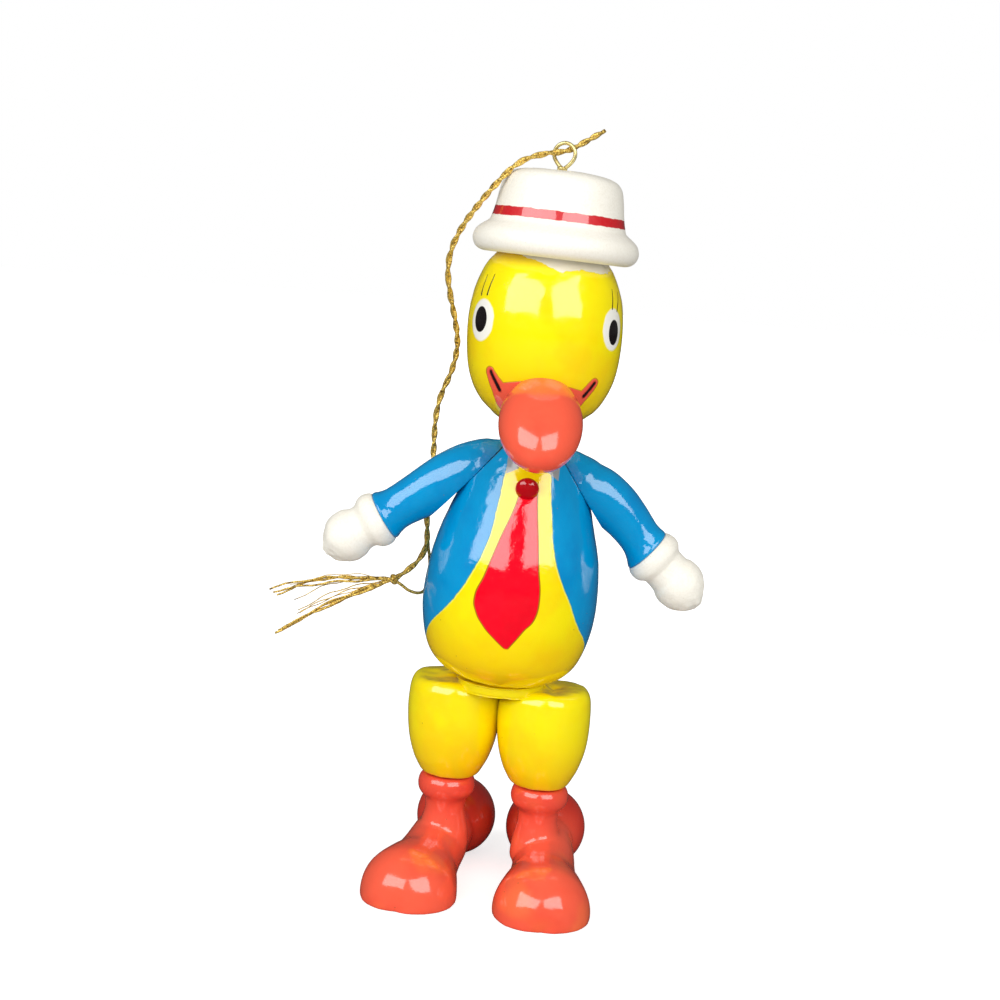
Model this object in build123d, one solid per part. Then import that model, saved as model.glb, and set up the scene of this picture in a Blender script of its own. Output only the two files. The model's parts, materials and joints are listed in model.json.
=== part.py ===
from build123d import *
import math
import os

# Wooden duck figure on flat soles, facing -Y, millimetres, +Z up.
# "left" and "right" are the figure's own sides: its left is on +X.

# ---- driving dimensions ----
ankle_at = {"left": (7.3, 0.2), "right": (-7.3, 2.9)}      # the hips are twisted a little
toe_out = {"left": -1.5, "right": 17.0}                    # how far each boot is turned out at rest, degrees
thigh_inset = 0.15          # a thigh's axis stands this much inside its ankle's
foot_offset = 1.45          # a foot's middle line lies this much outside its ankle's axis
torso_x = -0.5              # the torso's foot stands a little to the figure's right
torso_lean = 3.7            # degrees towards +X
hat_tilt = 2.6              # degrees towards +X
head_x = 2.4                # the head's upright axis
running_fit = 0.05          # radial clearance of a bore that turns on its peg
flat_gap = 0.075            # half of the gap between a shoulder flat and its sleeve

heel_radius = 6.35
heel_middle = (0, 9.8, 6.25)
foot_start = (0, 6.0, 5.8)  # back end of the turned foot's axis
foot_slope = 14.5           # degrees, down towards the toe

hip_level = 32.8            # underside of the torso
hip_disc_radius = 6.6
hip_disc_thickness = 1.8
hip_dowel_share = 0.55      # how far out on a leg's axis its hip dowel stands
thigh_top = 32.0
inner_cut_start = 4.6       # where the thigh's sloping inner cut meets its top, from the middle
inner_cut_slope = 35.0      # degrees
neck_bottom = 65.9
neck_radius = 3.4
recess_radius = 4.7         # the hollow in the torso's top that the neck turns in
recess_floor = 65.3
notch_width = 4.6           # V notch in the front of the collar
notch_middle = Vector(0, -5.5, 69.2)
tie_knot_middle = Vector(0, -8.9, 63.4)
tie_knot_half = (1.8, 1.5, 1.8)
tie_knot_tip = 28.0         # degrees
hat_bottom = 96.9
hat_x = 2.9
crown_height = 12.95

peg_radius = 1.5            # neck peg, ankle pegs, hip dowels and hat dowel
shoulder_peg_radius = 1.2
dowel_radius = 1.1          # beak and wrist dowels
hip_dowel_heights = (26.5, 38.5)
ankle_peg_heights = (9.0, 21.5)
ankle_room_heights = (8.9, 17.5)
neck_peg_heights = (57.0, 76.0)
neck_room_heights = (60.0, 76.1)
shoulder_peg_inside = 5.0   # how far a shoulder peg reaches into the torso, then into the sleeve
shoulder_peg_outside = 3.0
end_room = 0.1              # free length past the end of a peg that turns
wrist_dowel_up = 4.0        # how far a wrist dowel reaches into the sleeve, then into the hand
wrist_dowel_down = 6.5
beak_dowel_back = 9.5
beak_dowel_front = 3.5
hat_dowel_heights = (-4.0, 6.0)

arm_drop = {"left": 38.0, "right": 36.6}         # slope of an arm below the horizontal, degrees
sleeve_length = {"left": 14.35, "right": 15.4}   # wrist to the middle of the rounded shoulder
sleeve_end_radius = 4.3
hand_reach = {"left": 7.0, "right": 6.3}         # wrist to the middle of the hand's ball
hand_radius = 3.85
shoulder_end = Vector(8.3, 0, 64.4)
shoulder_flat_point = Vector(7.5, 0, 64.3)
shoulder_flat_rise = 37.5   # slope of the flat's outward normal above the horizontal, degrees

eye_wire_radius = 0.3
eye_ring_radius = 1.65
eye_turn = -20.0
eye_x = -0.35               # the shank stands a little off the crown's middle
eye_lift = 2.45             # ring's middle above the crown
eye_shank_radius = 0.45
eye_shank_depth = 5.5
eye_shank_rise = 0.8
crown_dip = 0.05            # the crown's middle lies this much under its height
far = 60.0                  # edge of a cutting block, larger than the figure's parts

beak_reach = 9.1            # half the length of the bill, then half its width and thickness
beak_half_width = 6.05
beak_half_thickness = 4.8
beak_droop = 36.0
beak_middle = Vector(2.6, -13.4, 73.6)

cord_radius = 0.52
knot_radius = 0.95
tail_radius = 0.5

# ---- outlines, as (radius, height) ----
torso_side = [(6.6, 32.9), (9.2, 34.2), (11.4, 36.6), (12.85, 40.6), (13.35, 45.5),
              (12.8, 52.4), (11.0, 58.5), (9.1, 63.7), (7.4, 67.2), (5.7, 69.1)]
thigh_side = [(4.4, 16.4), (5.05, 17.5), (5.95, 19.3), (6.8, 22.4), (7.15, 25.8),
              (7.15, 28.6), (6.95, 30.6), (6.2, thigh_top)]
foot_side = [(3.7, 0.0), (4.3, 3.0), (4.6, 6.1), (4.75, 9.1), (5.15, 12.1), (6.0, 15.1), (6.95, 18.1),
             (7.15, 20.1), (6.7, 22.6), (5.2, 24.9), (1.6, 26.6)]
spool_side = [(4.4, 7.0), (3.35, 8.8), (2.95, 10.6), (3.3, 12.2), (4.15, 13.3), (4.45, 14.5), (4.25, 15.6),
              (3.9, 16.25)]
head_side = [(3.4, 71.9), (6.8, 73.4), (9.3, 76.0), (11.0, 80.0), (11.6, 85.6), (11.15, 91.0),
             (9.6, 95.2), (7.2, 98.4)]
brim_side = [(10.4, 0.0), (11.9, 0.45), (12.6, 1.9), (12.1, 3.4), (10.9, 4.2), (9.95, 5.1)]
crown_side = [(9.95, 5.1), (9.75, 6.6), (9.15, 9.6), (8.5, 11.3), (7.0, 12.4), (4.0, 12.9)]
sleeve_side = [(3.8, 0.0), (3.55, 1.0), (3.3, 2.3), (3.4, 4.5), (3.8, 8.0), (4.1, 11.0)]
cuff_side = [(3.65, 0.0), (4.2, 0.5), (4.35, 1.5), (4.15, 2.5), (3.55, 3.3), (3.2, 4.2)]

# ---- the hanging cord: from the folded tip, through the eye, to the knot ----
cord_route = [
    (9.0, 2.9, 116.3), (6.0, 1.7, 114.2), (3.5, 0.0, 112.6), (0.4, -2.0, 112.1), (-3.4, -3.7, 110.6),
    (-6.4, -3.6, 107.2), (-8.9, -2.2, 103.9), (-11.0, -0.4, 100.8), (-12.5, 1.0, 97.4), (-12.9, 2.2, 93.9),
    (-12.2, 3.4, 90.2), (-11.2, 4.4, 86.6), (-10.5, 5.2, 82.9), (-11.2, 6.2, 78.7), (-12.8, 7.2, 74.9),
    (-13.4, 7.9, 70.6), (-13.2, 8.3, 65.6), (-13.5, 8.4, 60.2), (-13.6, 8.2, 55.4),
    (-13.1, 7.7, 51.3), (-14.6, 7.0, 47.9), (-17.9, 6.3, 45.6),
]
tail_routes = [
    [(-18.9, 6.2, 45.3), (-26.8, 6.2, 43.0), (-35.5, 6.2, 35.7)],
    [(-18.9, 6.2, 45.3), (-27.5, 6.4, 44.4), (-37.4, 6.6, 41.8)],
]


def turned(side):
    """A solid of revolution about Z: a smooth side between a flat bottom and a flat top."""
    low, high = side[0], side[-1]
    with BuildPart() as made:
        with BuildSketch(Plane.XZ):
            with BuildLine():
                Spline(*side)
                Line(high, (0, high[1]))
                Line((0, high[1]), (0, low[1]))
                Line((0, low[1]), low)
            make_face()
        revolve(axis=Axis.Z)
    return made.part


def rod(start, end, radius):
    """A straight round rod between two points."""
    along = Vector(*end) - Vector(*start)
    return extrude(Plane(origin=start, z_dir=along) * Circle(radius), along.length)


def standing(radius, bottom, height):
    """A cylinder about Z that starts at a height."""
    return Pos(0, 0, bottom) * Cylinder(radius, height, align=(Align.CENTER, Align.CENTER, Align.MIN))


def ellipsoid(half_x, half_y, half_z):
    return scale(Sphere(1), by=(half_x, half_y, half_z))


def placed_along(shape, origin, direction):
    """Moves a shape made along +Z to start at a point and lie along a direction."""
    return Plane(origin=origin, x_dir=(0, 1, 0), z_dir=direction) * shape


def mirrored(shape):
    return mirror(shape, about=Plane.YZ)


def leaned(shape):
    """Leans a piece of the torso about the middle of the hips."""
    return Pos(torso_x, 0, hip_level) * Rot(0, torso_lean, 0) * Pos(0, 0, -hip_level) * shape


def lean_point(point):
    turn = math.radians(torso_lean)
    up = point.Z - hip_level
    return Vector(torso_x + point.X * math.cos(turn) + up * math.sin(turn), point.Y,
                  hip_level - point.X * math.sin(turn) + up * math.cos(turn))


def slope(degrees_up):
    angle = math.radians(degrees_up)
    return Vector(math.cos(angle), 0, math.sin(angle))


def cord_tube(points, radius):
    """A tube along straight runs joined by arcs as large as the runs allow."""
    spots = [Vector(*p) for p in points]
    radii = []
    for before, here, after in zip(spots, spots[1:], spots[2:]):
        turn = math.radians((here - before).get_angle(after - here))
        shorter = min((here - before).length, (after - here).length)
        radii.append(0.45 * shorter / math.tan(turn / 2))
    path = FilletPolyline(*spots, radius=radii)
    section = Plane(origin=path @ 0, z_dir=path % 0) * Circle(radius)
    tube = sweep(section, path=path)
    print("cord arcs", [round(r, 1) for r in radii], "length", round(path.length, 1),
          "volume ratio", round(tube.volume / (math.pi * radius**2 * path.length), 4))
    return tube


def upright(radius, heights):
    """A round rod about Z between two heights."""
    return standing(radius, heights[0], heights[1] - heights[0])


def cutting_block(place):
    """A large block on the +Z side of a place."""
    return place * Box(far, far, far / 2, align=(Align.CENTER, Align.CENTER, Align.MIN))


pieces = {}
below_soles = cutting_block(Plane(origin=(0, 0, 0), z_dir=(0, 0, -1)))

# ---- legs and hips ----
for side, sign in (("left", 1), ("right", -1)):
    ankle_x, ankle_y = ankle_at[side]
    ankle = Pos(ankle_x, ankle_y, 0)
    hip_dowel = Pos(ankle_x * hip_dowel_share, ankle_y * hip_dowel_share, 0) * upright(
        peg_radius, hip_dowel_heights)
    ankle_peg = upright(peg_radius, ankle_peg_heights)
    disc_seat = Pos(0, 0, hip_level) * Cylinder(hip_disc_radius, hip_disc_thickness * 2)
    inner_cut = cutting_block(Pos(sign * inner_cut_start, 0, thigh_top) * Rot(0, sign * -inner_cut_slope, 0))
    thigh = Pos(-sign * thigh_inset, 0, 0) * ankle * turned(thigh_side)
    thigh = thigh - disc_seat - inner_cut - hip_dowel - ankle * ankle_peg
    pieces["thigh_" + side] = thigh
    pieces["hip_dowel_" + side] = hip_dowel
    pieces["ankle_peg_" + side] = ankle * ankle_peg

    # The boot: a spool with a collar bead stands on a turned foot with a toe dome and a heel ball.
    peg_room = upright(peg_radius + running_fit, ankle_room_heights)
    spool = turned(spool_side) - peg_room
    foot = Pos(*foot_start) * Rot(90 + foot_slope, 0, 0) * turned(foot_side)
    foot = foot + Pos(*heel_middle) * Sphere(heel_radius)
    foot = Pos(sign * foot_offset, 0, 0) * foot - below_soles
    foot = foot - upright(spool_side[0][0], (spool_side[0][1], spool_side[-1][1]))
    foot = foot - peg_room
    boot_at = ankle * Rot(0, 0, sign * toe_out[side])
    pieces["shoe_" + side] = boot_at * foot
    pieces["ankle_spool_" + side] = boot_at * spool

disc_low = hip_level - hip_disc_thickness
disc_side = [(hip_disc_radius - 0.6, disc_low), (hip_disc_radius - 0.1, disc_low + 0.5),
             (hip_disc_radius, disc_low + 1.2), (hip_disc_radius, hip_level)]
hip_disc = turned(disc_side)
for side in ("left", "right"):
    hip_disc = hip_disc - pieces["hip_dowel_" + side]
pieces["hip_disc"] = hip_disc

# ---- torso, with the recess that the neck turns in ----
neck_peg = Pos(head_x, 0, 0) * upright(peg_radius, neck_peg_heights)
flat_out = slope(shoulder_flat_rise)
beyond_flat = cutting_block(Plane(origin=shoulder_flat_point - flat_out * flat_gap, z_dir=flat_out))
shoulder_peg = rod(shoulder_flat_point - flat_out * shoulder_peg_inside,
                   shoulder_flat_point + flat_out * shoulder_peg_outside, shoulder_peg_radius)
torso = turned(torso_side)
recess = upright(recess_radius, (recess_floor, hat_bottom))
collar_notch = Pos(*notch_middle) * Rot(0, 45, 0) * Box(notch_width, 2 * recess_radius, notch_width)
torso = torso - recess - collar_notch - beyond_flat - mirrored(beyond_flat)
torso = leaned(torso - shoulder_peg - mirrored(shoulder_peg)) - neck_peg
torso = torso - cutting_block(Plane(origin=(0, 0, hip_level), z_dir=(0, 0, -1)))
tie_knot = Pos(*lean_point(tie_knot_middle)) * Rot(tie_knot_tip, 0, 0) * ellipsoid(*tie_knot_half)
tie_knot = tie_knot - torso
for side in ("left", "right"):
    torso = torso - pieces["hip_dowel_" + side]
pieces["torso"] = torso
pieces["tie_knot"] = tie_knot
pieces["neck_peg"] = neck_peg
pieces["shoulder_peg_left"] = leaned(shoulder_peg)
pieces["shoulder_peg_right"] = leaned(mirrored(shoulder_peg))

# ---- arms: a sleeve with a long flat, and a hand with a cuff bead ----
inside_flat = cutting_block(Plane(origin=shoulder_flat_point + flat_out * flat_gap, z_dir=flat_out * -1))
peg_room = rod(shoulder_flat_point, shoulder_flat_point + flat_out * (shoulder_peg_outside + end_room),
               shoulder_peg_radius + running_fit)
for side, turn in (("left", lambda shape: shape), ("right", mirrored)):
    down_arm = slope(-arm_drop[side])
    up_arm = down_arm * -1
    wrist = shoulder_end + down_arm * sleeve_length[side]
    sleeve_line = sleeve_side + [(sleeve_end_radius, sleeve_length[side])]
    shoulder_round = Pos(0, 0, sleeve_length[side]) * Sphere(sleeve_end_radius)
    sleeve = placed_along(turned(sleeve_line) + shoulder_round, wrist, up_arm)
    wrist_dowel = rod(wrist + up_arm * wrist_dowel_up, wrist + down_arm * wrist_dowel_down, dowel_radius)
    sleeve = sleeve - inside_flat - peg_room - wrist_dowel
    ball = Pos(0, 0, hand_reach[side]) * Sphere(hand_radius)
    hand = placed_along(turned(cuff_side) + ball, wrist, down_arm) - wrist_dowel
    pieces["sleeve_" + side] = leaned(turn(sleeve))
    pieces["hand_" + side] = leaned(turn(hand))
    pieces["wrist_dowel_" + side] = leaned(turn(wrist_dowel))

# ---- head, beak and hat ----
neck = upright(neck_radius, (neck_bottom, head_side[1][1]))
head = turned(head_side) + neck - upright(peg_radius + running_fit, neck_room_heights)
head = Pos(head_x, 0, 0) * head
beak_along = Vector(0, -math.cos(math.radians(beak_droop)), -math.sin(math.radians(beak_droop)))
beak = Pos(*beak_middle) * Rot(beak_droop, 0, 0) * ellipsoid(beak_half_width, beak_reach, beak_half_thickness)
beak_dowel = rod(beak_middle - beak_along * beak_dowel_back, beak_middle + beak_along * beak_dowel_front,
                 dowel_radius)
beak = beak - head - beak_dowel
hat_place = Pos(hat_x, 0, hat_bottom) * Rot(0, hat_tilt, 0)
hat = turned(brim_side) + turned(crown_side)
crown_top = crown_height - crown_dip
hat_dowel = hat_place * upright(peg_radius, hat_dowel_heights)
shank_heights = (crown_top - eye_shank_depth, crown_top + eye_shank_rise)
eye_shank = Pos(eye_x, 0, 0) * upright(eye_shank_radius, shank_heights)
eye_ring = Pos(eye_x, 0, crown_top + eye_lift) * Rot(0, 0, eye_turn) * Rot(90, 0, 0) * Torus(
    eye_ring_radius, eye_wire_radius)
pieces["screw_eye"] = hat_place * (eye_shank + eye_ring)
hat = hat_place * (hat - eye_shank) - head - hat_dowel
head = head - hat_dowel - beak_dowel
pieces["head"] = head
pieces["beak"] = beak
pieces["beak_dowel"] = beak_dowel
pieces["hat"] = hat
pieces["hat_dowel"] = hat_dowel

# ---- hanging cord, its knot and its frayed tails ----
knot_middle = Vector(*cord_route[-1])
knot = Pos(*knot_middle) * Sphere(knot_radius)
tube = cord_tube(cord_route, cord_radius)
tails = [rod(a, b, tail_radius) for route in tail_routes for a, b in zip(route, route[1:])]
elbows = [Pos(*route[1]) * Sphere(tail_radius) for route in tail_routes]
bundle = tails[0]
for bit in tails[1:] + elbows:
    bundle = bundle + bit
pieces["hanging_cord"] = tube - knot
pieces["cord_knot"] = knot
pieces["cord_tails"] = bundle - knot
on_cord = ["hanging_cord", "cord_knot", "cord_tails"]

# ---- origin: middle of the figure's footprint box; the soles are at height 0 already ----
corners = []
for name, shape in pieces.items():
    if name not in on_cord:
        corners += shape.tessellate(0.02)[0]
low = [min(tuple(corner)[axis] for corner in corners) for axis in range(2)]
high = [max(tuple(corner)[axis] for corner in corners) for axis in range(2)]
shift = Vector(-(low[0] + high[0]) / 2, -(low[1] + high[1]) / 2, 0)
print("figure box", low, high, "shift", shift)
marks = {
    "neck": Vector(head_x, 0, neck_bottom + end_room),
    "shoulder_left": lean_point(shoulder_flat_point),
    "shoulder_right": lean_point(Vector(-shoulder_flat_point.X, 0, shoulder_flat_point.Z)),
    "ankle_left": Vector(*ankle_at["left"], spool_side[-1][1]),
    "ankle_right": Vector(*ankle_at["right"], spool_side[-1][1]),
    "eye": (hat_place * Pos(eye_x, 0, crown_top + eye_lift)).position,
}
for name, mark in marks.items():
    print("mark", name, mark + shift)

os.makedirs("parts", exist_ok=True)
for name, shape in pieces.items():
    solids = shape.solids()
    kept = Compound(solids) if len(solids) > 1 else solids[0]
    export_step(Pos(*shift) * kept, f"parts/{name}.step")
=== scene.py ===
import json
import math
import random
import bmesh
import bpy
from mathutils import Matrix, Vector, noise


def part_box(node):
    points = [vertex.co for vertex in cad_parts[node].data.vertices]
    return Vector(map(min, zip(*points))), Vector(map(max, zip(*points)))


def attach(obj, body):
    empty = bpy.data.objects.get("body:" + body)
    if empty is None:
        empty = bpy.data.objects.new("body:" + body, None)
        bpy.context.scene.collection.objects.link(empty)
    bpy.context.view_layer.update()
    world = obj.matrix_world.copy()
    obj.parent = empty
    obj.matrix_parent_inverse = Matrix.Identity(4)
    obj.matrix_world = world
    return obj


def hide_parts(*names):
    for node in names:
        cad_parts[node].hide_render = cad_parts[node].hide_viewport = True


# A turned and painted wooden duck with a gold hanging cord. Lengths are in metres; MM turns millimetres into
# metres. "left" and "right" are the duck's own sides: its left is on +X, and it faces -Y.

MM = 0.001
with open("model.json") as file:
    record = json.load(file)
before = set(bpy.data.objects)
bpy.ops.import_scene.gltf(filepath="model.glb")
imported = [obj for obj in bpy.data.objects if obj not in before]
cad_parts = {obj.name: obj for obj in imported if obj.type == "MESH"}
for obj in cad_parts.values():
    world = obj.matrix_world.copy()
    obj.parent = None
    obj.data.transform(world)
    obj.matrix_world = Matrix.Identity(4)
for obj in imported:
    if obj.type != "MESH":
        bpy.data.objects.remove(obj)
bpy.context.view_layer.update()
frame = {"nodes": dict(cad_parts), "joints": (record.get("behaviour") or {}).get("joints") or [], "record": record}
scene = bpy.context.scene
joints = {joint["name"]: joint for joint in frame["joints"]}
mounts = {mount["name"]: mount for mount in frame["record"]["mounts"]}
SIDES = (("left", 1), ("right", -1))


def middle(node):
    low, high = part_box(node)
    return (low + high) / 2


# ---- places taken from the frame ----
disc_low, disc_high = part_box("hip_disc")
hip = Vector(((disc_low.x + disc_high.x) / 2, (disc_low.y + disc_high.y) / 2, disc_high.z))
shoulder_l = Vector(joints["shoulder_left_swing"]["pos_m"])
shoulder_r = Vector(joints["shoulder_right_swing"]["pos_m"])
torso_lean = math.atan2(shoulder_r.z - shoulder_l.z, shoulder_l.x - shoulder_r.x)
SHOULDERS_ABOVE_HIPS = 31.5 * MM
lean_turn = Matrix.Rotation(torso_lean, 4, "Y")
torso_foot = (shoulder_l + shoulder_r) / 2 - lean_turn @ Vector((0, 0, SHOULDERS_ABOVE_HIPS))
torso_place = Matrix.Translation(torso_foot) @ lean_turn
head_axis = Vector(joints["neck_turn"]["pos_m"])
eye_middle = Vector(mounts["hanging_eye"]["pos_m"])
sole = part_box("shoe_left")[0].z


# =====================================================================
# Camera
# =====================================================================
CAMERA_PLACE = Vector((-2.35, -255.0, 64.2))  # from the middle of the hips, in millimetres
LENS = 61.2
LOOK_DOWN = math.radians(8.2)
ROLL = math.radians(4.4)


def make_camera():
    data = bpy.data.cameras.new("camera")
    data.sensor_width = 36.0
    data.lens = LENS
    data.clip_start = 0.02
    data.clip_end = 20.0
    camera = bpy.data.objects.new("camera", data)
    camera.location = hip + CAMERA_PLACE * MM
    turn = Matrix.Rotation(math.pi / 2 - LOOK_DOWN, 4, "X") @ Matrix.Rotation(ROLL, 4, "Z")
    camera.rotation_euler = turn.to_euler()
    scene.collection.objects.link(camera)
    scene.camera = camera


make_camera()


# =====================================================================
# Mesh helpers
# =====================================================================
def new_object(name, mesh, body, slot, *nodes):
    """Links a piece, rides it on its body and hides the CAD nodes it stands for."""
    piece = bpy.data.objects.new(name, mesh)
    scene.collection.objects.link(piece)
    for polygon in mesh.polygons:
        polygon.use_smooth = True
    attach(piece, body)
    if nodes:
        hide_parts(*nodes)
    return piece


def rounded(points, steps=8):
    """A smooth line through (radius, height) points."""
    ends = [points[0]] + list(points) + [points[-1]]
    line = []
    for a, b, c, d in zip(ends, ends[1:], ends[2:], ends[3:]):
        for n in range(steps):
            t = n / steps
            line.append(tuple(
                0.5 * (2 * q + (r - p) * t + (2 * p - 5 * q + 4 * r - s) * t * t
                       + (3 * q - p - 3 * r + s) * t**3)
                for p, q, r, s in zip(a, b, c, d)))
    line.append(points[-1])
    return line


def turned(outline, around=96, steps=8, wobble=0.03):
    """A slightly uneven turned mesh about Z in millimetres, from the bottom middle to the top middle."""
    made = bmesh.new()
    rows = []
    for radius, height in rounded(outline, steps):
        if radius < 0.02:
            rows.append([made.verts.new((0, 0, height))])
            continue
        row = []
        for n in range(around):
            angle = 2 * math.pi * n / around
            spot = Vector((radius * math.cos(angle), radius * math.sin(angle), height))
            uneven = wobble * noise.noise(spot * 0.22) + wobble * 0.3 * noise.noise(spot * 0.9)
            row.append(made.verts.new(spot * (1 + uneven / max(radius, 1.0))))
        rows.append(row)
    for low, high in zip(rows, rows[1:]):
        for n in range(around):
            m = (n + 1) % around
            if len(low) == 1 and len(high) == 1:
                continue
            if len(low) == 1:
                made.faces.new((low[0], high[m], high[n]))
            elif len(high) == 1:
                made.faces.new((low[n], low[m], high[0]))
            else:
                made.faces.new((low[n], low[m], high[m], high[n]))
    bmesh.ops.recalc_face_normals(made, faces=made.faces)
    mesh = bpy.data.meshes.new("turned")
    made.to_mesh(mesh)
    made.free()
    return mesh


def ball(radii, place, detail=48):
    made = bmesh.new()
    bmesh.ops.create_uvsphere(made, u_segments=detail * 2, v_segments=detail, radius=1.0)
    mesh = bpy.data.meshes.new("ball")
    made.to_mesh(mesh)
    made.free()
    mesh.transform(place @ Matrix.Diagonal(Vector((*radii, 1.0))))
    return mesh


def to_metres(mesh, place):
    mesh.transform(place @ Matrix.Scale(MM, 4))
    return mesh


def joined(meshes):
    made = bmesh.new()
    for mesh in meshes:
        made.from_mesh(mesh)
    mesh = bpy.data.meshes.new("joined")
    made.to_mesh(mesh)
    made.free()
    return mesh


def cut(mesh, point, away):
    """Cuts off what lies beyond a plane and closes the cut."""
    made = bmesh.new()
    made.from_mesh(mesh)
    geometry = made.verts[:] + made.edges[:] + made.faces[:]
    found = bmesh.ops.bisect_plane(made, geom=geometry, plane_co=point, plane_no=away, clear_outer=True)
    rim = [item for item in found["geom_cut"] if isinstance(item, bmesh.types.BMEdge)]
    bmesh.ops.holes_fill(made, edges=rim)
    bmesh.ops.recalc_face_normals(made, faces=made.faces)
    made.to_mesh(mesh)
    made.free()
    return mesh


def with_modifiers(mesh, *modifiers):
    """The mesh after modifiers, each given as (kind, {setting: value})."""
    worker = bpy.data.objects.new("worker", mesh)
    scene.collection.objects.link(worker)
    for kind, settings in modifiers:
        modifier = worker.modifiers.new(kind, kind)
        for setting, value in settings.items():
            setattr(modifier, setting, value)
    result = bpy.data.meshes.new_from_object(worker.evaluated_get(bpy.context.evaluated_depsgraph_get()))
    bpy.data.objects.remove(worker)
    return result


def blended(mesh, voxel, smooth):
    """One skin over joined closed meshes, with soft junctions, in millimetres."""
    return with_modifiers(
        mesh,
        ("REMESH", {"mode": "VOXEL", "voxel_size": voxel}),
        ("SMOOTH", {"factor": 0.5, "iterations": smooth}),
    )


# =====================================================================
# Material helpers
# =====================================================================
def srgb(red, green, blue):
    """A colour given as on a screen, from 0 to 255, as Blender's linear colour."""
    linear = [((c / 255 + 0.055) / 1.055) ** 2.4 if c > 10 else c / 255 / 12.92 for c in (red, green, blue)]
    return (*linear, 1.0)


YELLOW = srgb(255, 236, 0)
# deeper yellow, used for thicker paint drifts and for painted shade low on the chin, belly and thighs
YELLOW_DEEP_AND_SHADE = srgb(255, 200, 0)
BLUE = srgb(0, 152, 212)
BLUE_DEEP = srgb(0, 118, 190)
RED = srgb(250, 0, 34)
RED_DEEP = srgb(190, 0, 16)
CORAL = srgb(252, 98, 70)
CORAL_PATCH = srgb(255, 140, 66)
# painted shade on the backs of the boots
CORAL_SHADE = srgb(196, 34, 26)
IVORY = srgb(250, 246, 234)
IVORY_SHADE = srgb(214, 205, 180)
BLACK = srgb(22, 16, 18)
GREY = srgb(150, 156, 158)
PALE_EDGE = srgb(236, 246, 120)


class Paint:
    """A material's node tree, built with short calls. Positions are in millimetres."""

    def __init__(self, name):
        self.material = bpy.data.materials.new(name)
        self.material.use_nodes = True
        self.tree = self.material.node_tree
        self.shader = self.tree.nodes["Principled BSDF"]
        place = self.tree.nodes.new("ShaderNodeTexCoord").outputs["Object"]
        self.spot = self.vector("SCALE", place, factor=1000.0)

    def wire(self, value, socket):
        if isinstance(value, bpy.types.NodeSocket):
            self.tree.links.new(value, socket)
        else:
            socket.default_value = value

    def vector(self, operation, a, b=None, factor=None):
        node = self.tree.nodes.new("ShaderNodeVectorMath")
        node.operation = operation
        self.wire(a, node.inputs[0])
        if b is not None:
            self.wire(b, node.inputs[1])
        if factor is not None:
            self.wire(factor, node.inputs["Scale"])
        return node.outputs["Value" if operation in ("DOT_PRODUCT", "LENGTH", "DISTANCE") else "Vector"]

    def math(self, operation, a, b=0.0, c=0.0):
        node = self.tree.nodes.new("ShaderNodeMath")
        node.operation = operation
        for value, socket in zip((a, b, c), node.inputs):
            self.wire(value, socket)
        return node.outputs[0]

    def ramp(self, value, start, end, low=0.0, high=1.0, smooth=True):
        """low up to start, high from end on."""
        node = self.tree.nodes.new("ShaderNodeMapRange")
        node.interpolation_type = "SMOOTHSTEP" if smooth else "LINEAR"
        for entry, socket in zip((value, start, end, low, high), node.inputs):
            self.wire(entry, socket)
        return node.outputs[0]

    def noise(self, scale, detail=3.0, roughness=0.5, spot=None, distortion=0.0):
        node = self.tree.nodes.new("ShaderNodeTexNoise")
        self.wire(self.spot if spot is None else spot, node.inputs["Vector"])
        node.inputs["Scale"].default_value = scale
        node.inputs["Detail"].default_value = detail
        node.inputs["Roughness"].default_value = roughness
        node.inputs["Distortion"].default_value = distortion
        return node.outputs["Fac"]

    def cells(self, scale, spot=None, feature="F1"):
        node = self.tree.nodes.new("ShaderNodeTexVoronoi")
        node.feature = feature
        self.wire(self.spot if spot is None else spot, node.inputs["Vector"])
        node.inputs["Scale"].default_value = scale
        return node.outputs["Distance"]

    def mix(self, share, a, b):
        node = self.tree.nodes.new("ShaderNodeMix")
        node.data_type = "RGBA"
        self.wire(share, node.inputs[0])
        self.wire(a, node.inputs[6])
        self.wire(b, node.inputs[7])
        return node.outputs[2]

    def graph(self, value, points, low, high):
        """A smooth curve through (value, result) points; results run from low to high."""
        first, last = points[0][0], points[-1][0]
        node = self.tree.nodes.new("ShaderNodeFloatCurve")
        curve = node.mapping.curves[0]
        scaled = [((x - first) / (last - first), (y - low) / (high - low)) for x, y in points]
        curve.points[0].location = scaled[0]
        curve.points[1].location = scaled[-1]
        for spot in scaled[1:-1]:
            curve.points.new(*spot)
        node.mapping.update()
        self.wire(self.ramp(value, first, last, smooth=False), node.inputs["Value"])
        return self.math("MULTIPLY_ADD", node.outputs[0], high - low, low)

    def local(self, place):
        """Positions in another frame, given as a matrix in metres."""
        back = place.inverted()
        parts = []
        for row in back[:3]:
            along = self.vector("DOT_PRODUCT", self.spot, tuple(row[:3]))
            parts.append(self.math("ADD", along, row[3] / MM))
        return parts

    def hypotenuse(self, a, b):
        return self.math("SQRT", self.math("ADD", self.math("MULTIPLY", a, a), self.math("MULTIPLY", b, b)))

    def join(self, x, y, z):
        node = self.tree.nodes.new("ShaderNodeCombineXYZ")
        for value, socket in zip((x, y, z), node.inputs):
            self.wire(value, socket)
        return node.outputs[0]

    def bump(self, height, strength, distance, onto=None):
        node = self.tree.nodes.new("ShaderNodeBump")
        node.inputs["Strength"].default_value = strength
        node.inputs["Distance"].default_value = distance
        self.wire(height, node.inputs["Height"])
        if onto is not None:
            self.wire(onto, node.inputs["Normal"])
        return node.outputs[0]

    def specks(self, scale, size, share=0.5):
        """Small scattered dots: about one in each cell, kept where a broad noise is over share."""
        dots = self.ramp(self.cells(scale), size, size * 0.5)
        return self.math("MULTIPLY", dots, self.ramp(self.noise(scale * 0.31, 2.0), share, share + 0.04))


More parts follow.
